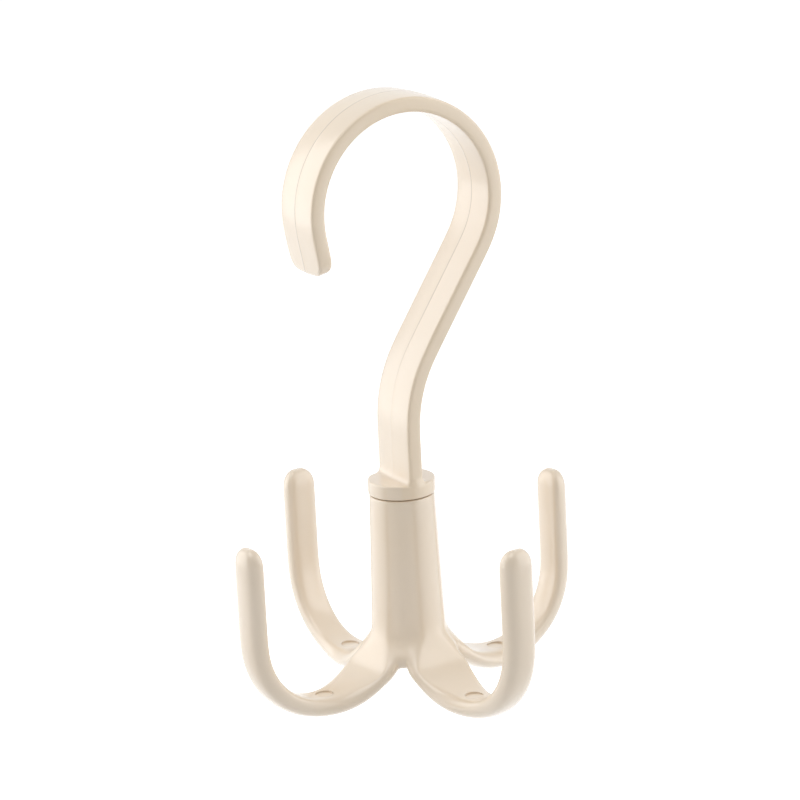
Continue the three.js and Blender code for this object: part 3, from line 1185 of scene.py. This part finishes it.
# The floor: its height and size, its own glow, and how its tone varies
FLOOR_Z = -320 * mm
FLOOR_SIZE = 8
FLOOR_GLOW = 0.7
FLOOR_SCALE = 3
FLOOR_TONE = 0.04
WHITE = (1, 1, 1)

# The soft boxes face the middle: degrees to the camera's right, degrees up, metres away,
# width, height and watts
MIDDLE = Vector((0, 0, -90 * mm))
SOFT_BOXES = (
    ("left_soft_box", -96, 4, 0.9, 1.1, 1.7, 8.0),
    ("right_soft_box", 84, 4, 0.9, 1, 1.7, 6.6),
    ("top_soft_box", -30, 72, 0.9, 0.7, 0.7, 2.4),
)
# The room's soft light: its mean level, and how much weaker it is from the camera
ROOM_LEVEL = 0.4
ROOM_SLOPE = 0.22


class SetStage(bpy.types.Operator):
    """Set the floor, the backdrop, the lamps and the camera."""

    bl_idname = "closet_hook.set_stage"
    bl_label = "Stage"

    def place_camera(self, scene):
        """Puts the camera where the photograph was taken, and returns its direction."""
        flat, drop = math.cos(CAMERA_HEIGHT), -math.sin(CAMERA_HEIGHT)
        ahead = Vector((flat * math.sin(CAMERA_TURN), flat * math.cos(CAMERA_TURN), drop))
        level = polar(1, -CAMERA_TURN, 0)
        upright = level.cross(ahead)
        right = level * math.cos(CAMERA_ROLL) + upright * math.sin(CAMERA_ROLL)
        up = upright * math.cos(CAMERA_ROLL) - level * math.sin(CAMERA_ROLL)
        aim = level * AIM_RIGHT_PIXELS * PIXEL + UP * (AIM_UP_PIXELS * PIXEL + AIM_ZERO)
        place = aim - ahead * DISTANCE_PIXELS * PIXEL
        data = bpy.data.cameras.new("camera")
        camera = bpy.data.objects.new("camera", data)
        scene.collection.objects.link(camera)
        axes = Matrix((right, up, -ahead)).transposed().to_4x4()
        camera.matrix_world = Matrix.Translation(place) @ axes
        data.sensor_width = SENSOR_MM
        data.lens = SENSOR_MM * DISTANCE_PIXELS / FRAME_PIXELS
        data.clip_start = CLIP_START
        scene.camera = camera
        return -ahead

    def light_room(self, scene, to_camera):
        """Soft light from all round, weaker from the camera's side, before a white backdrop."""
        world = bpy.data.worlds.new("studio")
        scene.world = world
        nodes = Nodes(world)
        direction = nodes.add("ShaderNodeTexCoord", output="Generated")
        toward = Vector((to_camera.x, to_camera.y, 0)).normalized()
        facing = nodes.vector_maths("DOT_PRODUCT", direction, toward)
        level = ROOM_LEVEL - facing * ROOM_SLOPE
        light = nodes.add("ShaderNodeBackground", None, {"Color": (*WHITE, 1), "Strength": level})
        seen = nodes.add("ShaderNodeBackground", None, {"Color": (*WHITE, 1), "Strength": 1})
        ends = {0: self.seen_ray(nodes), 1: light, 2: seen}
        surface = nodes.add("ShaderNodeMixShader", None, ends)
        nodes.add("ShaderNodeOutputWorld", None, {"Surface": surface})

    def seen_ray(self, nodes):
        """1 for the rays that show the backdrop: straight, in gloss and through glass."""
        names = ("Is Camera Ray", "Is Glossy Ray", "Is Transmission Ray")
        camera, gloss, glass = (nodes.add("ShaderNodeLightPath", output=name) for name in names)
        return glass.maths("MAXIMUM", camera.maths("MAXIMUM", camera, gloss), glass)

    def lay_floor(self, scene):
        """A wide pale floor that shows white where it is lit and keeps the shadow."""
        deselect()
        bpy.ops.mesh.primitive_plane_add(size=FLOOR_SIZE, location=(0, 0, FLOOR_Z))
        floor = bpy.context.object
        floor.name = "floor"
        bpy.ops.object.transform_apply(location=True)
        material = bpy.data.materials.new("floor")
        nodes = Nodes(material)
        tone = (nodes.noise(nodes.place(), FLOOR_SCALE, 2) - HALF) * FLOOR_TONE
        paper = nodes.mix_colour(tone, scene.finishes.floor, WHITE)
        diffuse = nodes.add("ShaderNodeBsdfDiffuse", None, {"Color": paper})
        strength = self.seen_ray(nodes) * FLOOR_GLOW
        glow = nodes.add("ShaderNodeEmission", None, {"Strength": strength})
        surface = nodes.add("ShaderNodeAddShader", None, {0: diffuse, 1: glow})
        nodes.add("ShaderNodeOutputMaterial", None, {"Surface": surface})
        floor.data.materials.append(material)

    def hang_soft_boxes(self, scene, to_camera):
        front = math.atan2(to_camera.y, to_camera.x)
        for name, around, height, distance, width, tall, watts in SOFT_BOXES:
            data = bpy.data.lights.new(name, "AREA")
            data.shape = "RECTANGLE"
            data.size = width
            data.size_y = tall
            data.energy = watts
            lamp = bpy.data.objects.new(name, data)
            scene.collection.objects.link(lamp)
            lamp.visible_camera = False
            up = math.radians(height)
            out = polar(math.cos(up), front + math.radians(around), math.sin(up))
            lamp.location = MIDDLE + out * distance
            lamp.rotation_euler = (-out).to_track_quat("-Z", "Y").to_euler()

    def execute(self, context):
        scene = context.scene
        scene.view_settings.view_transform = "Standard"
        to_camera = self.place_camera(scene)
        self.light_room(scene, to_camera)
        self.lay_floor(scene)
        self.hang_soft_boxes(scene, to_camera)
        return {"FINISHED"}


def in_words(key):
    return key.replace("_", " ").capitalize()


class ClosetHookPanel(bpy.types.Panel):
    """Sizes, colours and steps of the closet hook."""

    bl_idname = "VIEW3D_PT_closet_hook"
    bl_label = "Closet Hook"
    bl_space_type = "VIEW_3D"
    bl_region_type = "UI"
    bl_category = "Closet Hook"

    def draw(self, context):
        layout = self.layout
        for step in STEPS:
            layout.operator(step.bl_idname)
        for name in GROUPS:
            box = layout.box()
            box.label(text=in_words(name))
            group = getattr(context.scene, name)
            for key in GROUPS[name].__annotations__:
                box.prop(group, key, text=in_words(key))


STEPS = (SetStage, MakeUpperHook, MakeClawBase, MakeWasher, MakeScrew)
GROUPS = {
    "hook_sizes": HookSizes,
    "base_sizes": BaseSizes,
    "fastener_sizes": FastenerSizes,
    "finishes": Finishes,
}
CLASSES = (*GROUPS.values(), *STEPS, ClosetHookPanel)


def register():
    for cls in CLASSES:
        bpy.utils.register_class(cls)
    for name, group in GROUPS.items():
        setattr(bpy.types.Scene, name, bpy.props.PointerProperty(type=group))


def unregister():
    for name in GROUPS:
        delattr(bpy.types.Scene, name)
    for cls in reversed(CLASSES):
        bpy.utils.unregister_class(cls)


def main():
    register()
    bpy.ops.closet_hook.set_stage()
    bpy.ops.closet_hook.make_upper_hook()
    bpy.ops.closet_hook.make_claw_base()
    bpy.ops.closet_hook.make_washer()
    bpy.ops.closet_hook.make_screw()


if __name__ == "__main__":
    main()
